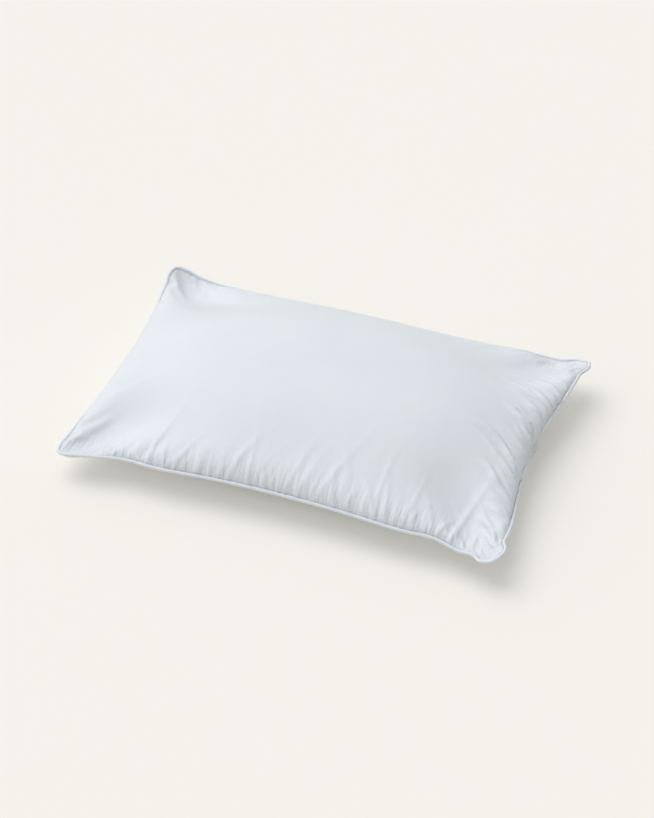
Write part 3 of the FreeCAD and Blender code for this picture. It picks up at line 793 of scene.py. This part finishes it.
def make_label(seam, material):
    """The blank care label: its end in the left seam, the rest hanging from it in a curl."""
    tail, hang, across = 9, 26, 19
    middle = seam.middle("left")
    along = middle + np.linspace(-LABEL_WIDTH / 2, LABEL_WIDTH / 2, across)
    line, _, outward, up = seam.at(along)
    down = np.array([0, 0, -1.0])
    rows = []
    for step in range(tail):
        reach = -LABEL_TAIL * (1 - step / (tail - 1))
        rows.append(line + reach * outward - LABEL_UNDER * up)
    place = rows[-1]
    curl = LABEL_CURL * np.cos(np.linspace(0, math.pi, across))[:, None]
    for step in range(1, hang + 1):
        share = step / hang
        lean = 1.15 * math.exp(-5 * share) + 0.25 * math.sin(2.2 * share)
        towards = unit(math.sin(lean) * outward + math.cos(lean) * down[None])
        place = place + LABEL_HANG / hang * towards
        rows.append(place + curl * share**2 * outward)
    grid = np.stack(rows)
    index = np.arange(grid.shape[0] * grid.shape[1]).reshape(grid.shape[:2])
    run = np.concatenate([np.linspace(-LABEL_TAIL, 0, tail),
                          LABEL_HANG * np.arange(1, hang + 1) / hang])
    flat = np.stack(np.broadcast_arrays((along - middle)[None], run[:, None]), -1)
    piece = Builder().add(grid, grid_quads(index), flat).make("care_label", material)
    thicken(piece, LABEL)
    return piece


# ------------ materials
TICKING_COLOURS = (0.735, 0.775, 0.815), (0.785, 0.815, 0.845)
TAPE_COLOURS = (0.72, 0.77, 0.82), (0.79, 0.83, 0.87)
LABEL_COLOURS = (0.74, 0.75, 0.75), (0.83, 0.83, 0.82)
RAMP = (0.3, 0.7)       # texture values of the dark and the light colour
FIBRES = {
    # dark, light, mottle's scale, bump, roughness, sheen
    "thread": ((0.74, 0.75, 0.77), (0.84, 0.85, 0.86), 900.0, 0.0001, 0.4, 0.1),
    "cord": ((0.66, 0.64, 0.58), (0.80, 0.78, 0.73), 260.0, 0.0005, 0.85, 0.3),
    "down": ((0.70, 0.69, 0.66), (0.86, 0.85, 0.82), 42.0, 0.004, 0.9, 0.6),
}
TICKING_THREAD = 0.0007  # from thread to thread of the weave
TAPE_THREAD = 0.0006
WEAVE_HEIGHT = 0.00008
GATHERED = 0.06         # how far inside the seam the fine gathers reach
GATHERS_NEAR = 1.0      # their strength on the front and right sides
GATHERS_FAR = 0.3       # and on the others


class Shader:
    """A procedural material: its nodes, and short ways to add and join them."""

    def __init__(self, name):
        self.material = bpy.data.materials.new(name)
        self.material.use_nodes = True
        self.nodes = self.material.node_tree.nodes
        self.surface = self.nodes["Principled BSDF"]

    def put(self, socket, value):
        """Join a socket to another node's output, or set its number or colour."""
        if isinstance(value, bpy.types.NodeSocket):
            self.material.node_tree.links.new(value, socket)
        else:
            socket.default_value = value

    def add(self, kind, **values):
        node = self.nodes.new(kind)
        for name, value in values.items():
            self.put(node.inputs[name.replace("_", " ")], value)
        return node

    def math(self, operation, first, second=0.0):
        node = self.add("ShaderNodeMath")
        node.operation = operation
        self.put(node.inputs[0], first)
        self.put(node.inputs[1], second)
        return node.outputs[0]

    def place(self, source, scale=(1, 1, 1), turn=0.0):
        coordinates = self.add("ShaderNodeTexCoord").outputs[source]
        return self.add("ShaderNodeMapping", Vector=coordinates, Rotation=(0, 0, turn),
                        Scale=scale).outputs[0]

    def noise(self, place, scale, detail=3.0, rough=0.5):
        return self.add("ShaderNodeTexNoise", Vector=place, Scale=scale, Detail=detail,
                        Roughness=rough).outputs["Fac"]

    def colour(self, factor, dark, light):
        ramp = self.add("ShaderNodeValToRGB", Fac=factor)
        for stop, position, colour in zip(ramp.color_ramp.elements, RAMP, (dark, light)):
            stop.position = position
            stop.color = (*colour, 1)
        return ramp.outputs["Color"]

    def bump(self, height, distance, strength, **below):
        """Bump, over another Normal where one is given."""
        return self.add("ShaderNodeBump", Height=height, Distance=distance, Strength=strength,
                        **below).outputs["Normal"]

    def finish(self, **values):
        """Set or join the surface's own sockets."""
        for name, value in values.items():
            self.put(self.surface.inputs[name.replace("_", " ")], value)
        return self.material


def weave(shader, pitch, turn=0.0):
    """Height of a plain weave: threads that pass over and under each other."""
    place = shader.place("UV", (1 / pitch, 1 / pitch, 1), turn)
    parts = shader.add("ShaderNodeSeparateXYZ", Vector=place)
    warp = shader.math("SINE", shader.math("MULTIPLY", parts.outputs["X"], 2 * math.pi))
    weft = shader.math("SINE", shader.math("MULTIPLY", parts.outputs["Y"], 2 * math.pi))
    crossing = shader.math("MULTIPLY", warp, weft)
    ribs = shader.math("ADD", shader.math("ABSOLUTE", warp), shader.math("ABSOLUTE", weft))
    return shader.math("ADD", shader.math("MULTIPLY", crossing, 0.6), ribs)


def gathers(shader):
    """Fine puckers square to the seams, strongest at the seam and gone further in."""
    parts = shader.add("ShaderNodeSeparateXYZ", Vector=shader.place("UV"))
    total = 0.0
    for axis, half, scale, near_side in (("X", CUT_LENGTH / 2, (26, 190, 1), 1),
                                         ("Y", CUT_WIDTH / 2, (190, 26, 1), -1)):
        ridges = shader.noise(shader.place("UV", scale), scale=1.0)
        for side, weight in ((near_side, GATHERS_NEAR), (-near_side, GATHERS_FAR)):
            out = shader.math("MULTIPLY", parts.outputs[axis], side / GATHERED)
            share = shader.math("SUBTRACT", out, half / GATHERED - 1)
            near = shader.math("MULTIPLY", shader.math("MAXIMUM", share, 0.0), weight)
            total = shader.math("ADD", shader.math("MULTIPLY", ridges, near), total)
    return total


def ticking_material():
    """Down-proof cotton: a close weave, faint slubs, a slight sheen and a cool white."""
    shader = Shader("ticking")
    flat = shader.place("UV")
    broad = shader.noise(flat, scale=9.0, detail=4.0)
    slub = shader.noise(shader.place("UV", (30, 900, 1)), scale=1.0, detail=2.0)
    slub_across = shader.noise(shader.place("UV", (900, 30, 1)), scale=1.0, detail=2.0)
    tint = shader.math("ADD", shader.math("MULTIPLY", broad, 0.7),
                       shader.math("MULTIPLY", shader.math("ADD", slub, slub_across), 0.15))
    colour = shader.colour(tint, *TICKING_COLOURS)
    crumple = shader.bump(shader.noise(flat, scale=55.0, detail=5.0, rough=0.55), 0.0012, 0.35)
    gathered = shader.bump(gathers(shader), 0.0045, 0.9, Normal=crumple)
    slubs = shader.bump(shader.math("ADD", slub, slub_across), 0.00012, 0.35, Normal=gathered)
    normal = shader.bump(weave(shader, TICKING_THREAD), WEAVE_HEIGHT, 0.35, Normal=slubs)
    roughness = shader.math("ADD", shader.math("MULTIPLY", broad, 0.14), 0.46)
    return shader.finish(Base_Color=colour, Normal=normal, Roughness=roughness, Sheen_Weight=0.45,
                         Sheen_Roughness=0.35, Specular_IOR_Level=0.32)


def tape_material():
    """Bias tape: the same cotton cut on the bias, a little bluer and smoother."""
    shader = Shader("piping")
    worn = shader.noise(shader.place("UV"), scale=60.0)
    colour = shader.colour(worn, *TAPE_COLOURS)
    crumple = shader.bump(shader.noise(shader.place("UV", (160, 90, 1)), scale=1.0), 0.0008, 0.4)
    normal = shader.bump(weave(shader, TAPE_THREAD, math.pi / 4), WEAVE_HEIGHT, 0.4, Normal=crumple)
    return shader.finish(Base_Color=colour, Normal=normal, Roughness=0.48, Sheen_Weight=0.2,
                         Sheen_Roughness=0.35, Specular_IOR_Level=0.36)


def fibre_material(name):
    """Loose or spun fibre: fine streaks over a soft mottle."""
    dark, light, scale, height, roughness, sheen = FIBRES[name]
    shader = Shader(name)
    mottle = shader.noise(shader.place("Object"), scale, detail=6.0, rough=0.65)
    streak = shader.noise(shader.place("Object", (1, 1, 6)), scale * 9, detail=4.0, rough=0.7)
    mixed = shader.math("ADD", shader.math("MULTIPLY", mottle, 0.6),
                        shader.math("MULTIPLY", streak, 0.4))
    normal = shader.bump(mixed, height, 0.6)
    return shader.finish(Base_Color=shader.colour(mixed, dark, light), Normal=normal,
                         Roughness=roughness, Sheen_Weight=sheen, Sheen_Roughness=0.5,
                         Specular_IOR_Level=0.3)


def label_material():
    """Blank satin ribbon: fine ribs across and a soft gloss."""
    shader = Shader("label")
    flat = shader.place("UV")
    ribs = shader.add("ShaderNodeTexWave", Vector=flat, Scale=900.0, Distortion=0.4,
                      Detail=1.0).outputs["Fac"]
    colour = shader.colour(shader.noise(flat, scale=240.0), *LABEL_COLOURS)
    return shader.finish(Base_Color=colour, Normal=shader.bump(ribs, 0.00005, 0.5), Roughness=0.34,
                         Sheen_Weight=0.1, Specular_IOR_Level=0.5)


# ------------ stage
FLOOR_COLOUR = (0.762, 0.738, 0.688, 1)
FLOOR_GLOW = 0.205      # a table top that is lit a little from below
FLOOR_REACH = 30.0
FLOOR_DROP = 0.0003
KEY_DIRECTION = (64.0, -74.0)  # elevation, and bearing from behind towards the left
KEY_STRENGTH = 1.10
KEY_SOFTNESS = 50.0     # degrees across
SKY_DIRECTION = (44.0, -80.0)  # where the room is brightest, as above
SKY_STRENGTH = (0.0, 0.95)  # opposite to it, and there
SKY_COLOUR = (0.97, 0.985, 1.0, 1)
CAMERA_AZIMUTH = 20.2
CAMERA_ELEVATION = 41.2
CAMERA_DISTANCE = 4.07
CAMERA_LENS = 110.0     # millimetres, as the sensor
CAMERA_SENSOR = 36.0
CAMERA_SHIFT = (0.0, -0.005)
CAMERA_TARGET = Vector((0, 0, 0.06))
CAMERA_CLIP = 100.0


def make_stage():
    """A plain pale floor, large enough to fill the camera's view."""
    shader = Shader("floor")
    shader.finish(Base_Color=FLOOR_COLOUR, Emission_Color=FLOOR_COLOUR,
                  Emission_Strength=FLOOR_GLOW, Roughness=1.0, Specular_IOR_Level=0.0)
    mesh = bpy.data.meshes.new("floor")
    corners = [(x * FLOOR_REACH, y * FLOOR_REACH, 0)
               for x, y in ((-1, -1), (1, -1), (1, 1), (-1, 1))]
    mesh.from_pydata(corners, [], [(0, 1, 2, 3)])
    mesh.materials.append(shader.material)
    floor = bpy.data.objects.new("floor", mesh)
    floor.location.z = -FLOOR_DROP
    bpy.context.scene.collection.objects.link(floor)


def heading(elevation, bearing):
    """Direction towards a place in the sky, given in degrees."""
    height, side = math.radians(elevation), math.radians(bearing)
    return Vector((math.sin(side) * math.cos(height), math.cos(side) * math.cos(height),
                   math.sin(height)))


def make_light():
    """One broad, soft key light from above, in a white room that is brighter on the left."""
    world = bpy.data.worlds.new("room")
    world.use_nodes = True
    nodes, links = world.node_tree.nodes, world.node_tree.links
    background = nodes["Background"]
    background.inputs["Color"].default_value = SKY_COLOUR
    looking = nodes.new("ShaderNodeTexCoord")
    facing = nodes.new("ShaderNodeVectorMath")
    facing.operation = "DOT_PRODUCT"
    facing.inputs[1].default_value = heading(*SKY_DIRECTION)
    strength = nodes.new("ShaderNodeMapRange")
    strength.inputs["From Min"].default_value = -1.0
    strength.inputs["To Min"].default_value, strength.inputs["To Max"].default_value = SKY_STRENGTH
    links.new(looking.outputs["Generated"], facing.inputs[0])
    links.new(facing.outputs["Value"], strength.inputs["Value"])
    links.new(strength.outputs["Result"], background.inputs["Strength"])
    bpy.context.scene.world = world
    light = bpy.data.lights.new("key", "SUN")
    light.energy = KEY_STRENGTH
    light.angle = math.radians(KEY_SOFTNESS)
    lamp = bpy.data.objects.new("key", light)
    lamp.rotation_mode = "QUATERNION"
    lamp.rotation_quaternion = heading(*KEY_DIRECTION).to_track_quat("Z", "Y")
    bpy.context.scene.collection.objects.link(lamp)


def make_camera():
    """A long lens from the front right, looking down on the pillow."""
    turn, rise = math.radians(CAMERA_AZIMUTH), math.radians(CAMERA_ELEVATION)
    back = Vector((math.sin(turn) * math.cos(rise), -math.cos(turn) * math.cos(rise),
                   math.sin(rise)))
    data = bpy.data.cameras.new("camera")
    data.lens = CAMERA_LENS
    data.sensor_width = CAMERA_SENSOR
    data.shift_x, data.shift_y = CAMERA_SHIFT
    data.clip_end = CAMERA_CLIP
    camera = bpy.data.objects.new("camera", data)
    camera.location = CAMERA_TARGET + back * CAMERA_DISTANCE
    camera.rotation_mode = "QUATERNION"
    camera.rotation_quaternion = (-back).to_track_quat("-Z", "Y")
    bpy.context.scene.collection.objects.link(camera)
    bpy.context.scene.camera = camera
    bpy.context.scene.view_settings.view_transform = "Standard"


# ------------ assembly
def own(piece, node, body="root"):
    """Put a piece on the body it rides on, and hide the CAD part of the node it stands for."""
    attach(piece, body)
    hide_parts(node)
    return piece


def make_pillow():
    """Every piece of the pillow, with what it stands for."""
    cover, seam = blow_up()
    ticking = ticking_material()
    thread, cord, down = (fibre_material(name) for name in FIBRES)
    upper = own(make_panel(cover, seam, 0, "upper_panel", ticking), "upper_panel")
    lower = own(make_panel(cover, seam, 1, "lower_panel", ticking), "lower_panel")
    fill = own(make_fill(cover, down), "down_fill")
    own(make_tape(seam, tape_material()), "piping_tape")
    own(make_cord(seam, cord), "piping_cord")
    for row in STITCH_ROWS:
        for side, spool in ((1, "needle"), (-1, "bobbin")):
            name = f"{row}_{spool}_thread"
            own(make_row(seam, row, side, name, thread), name)
    own(make_overlock(seam, thread), "overlock_thread")
    label = own(make_label(seam, label_material()), "care_label")


make_stage()
make_light()
make_camera()
make_pillow()
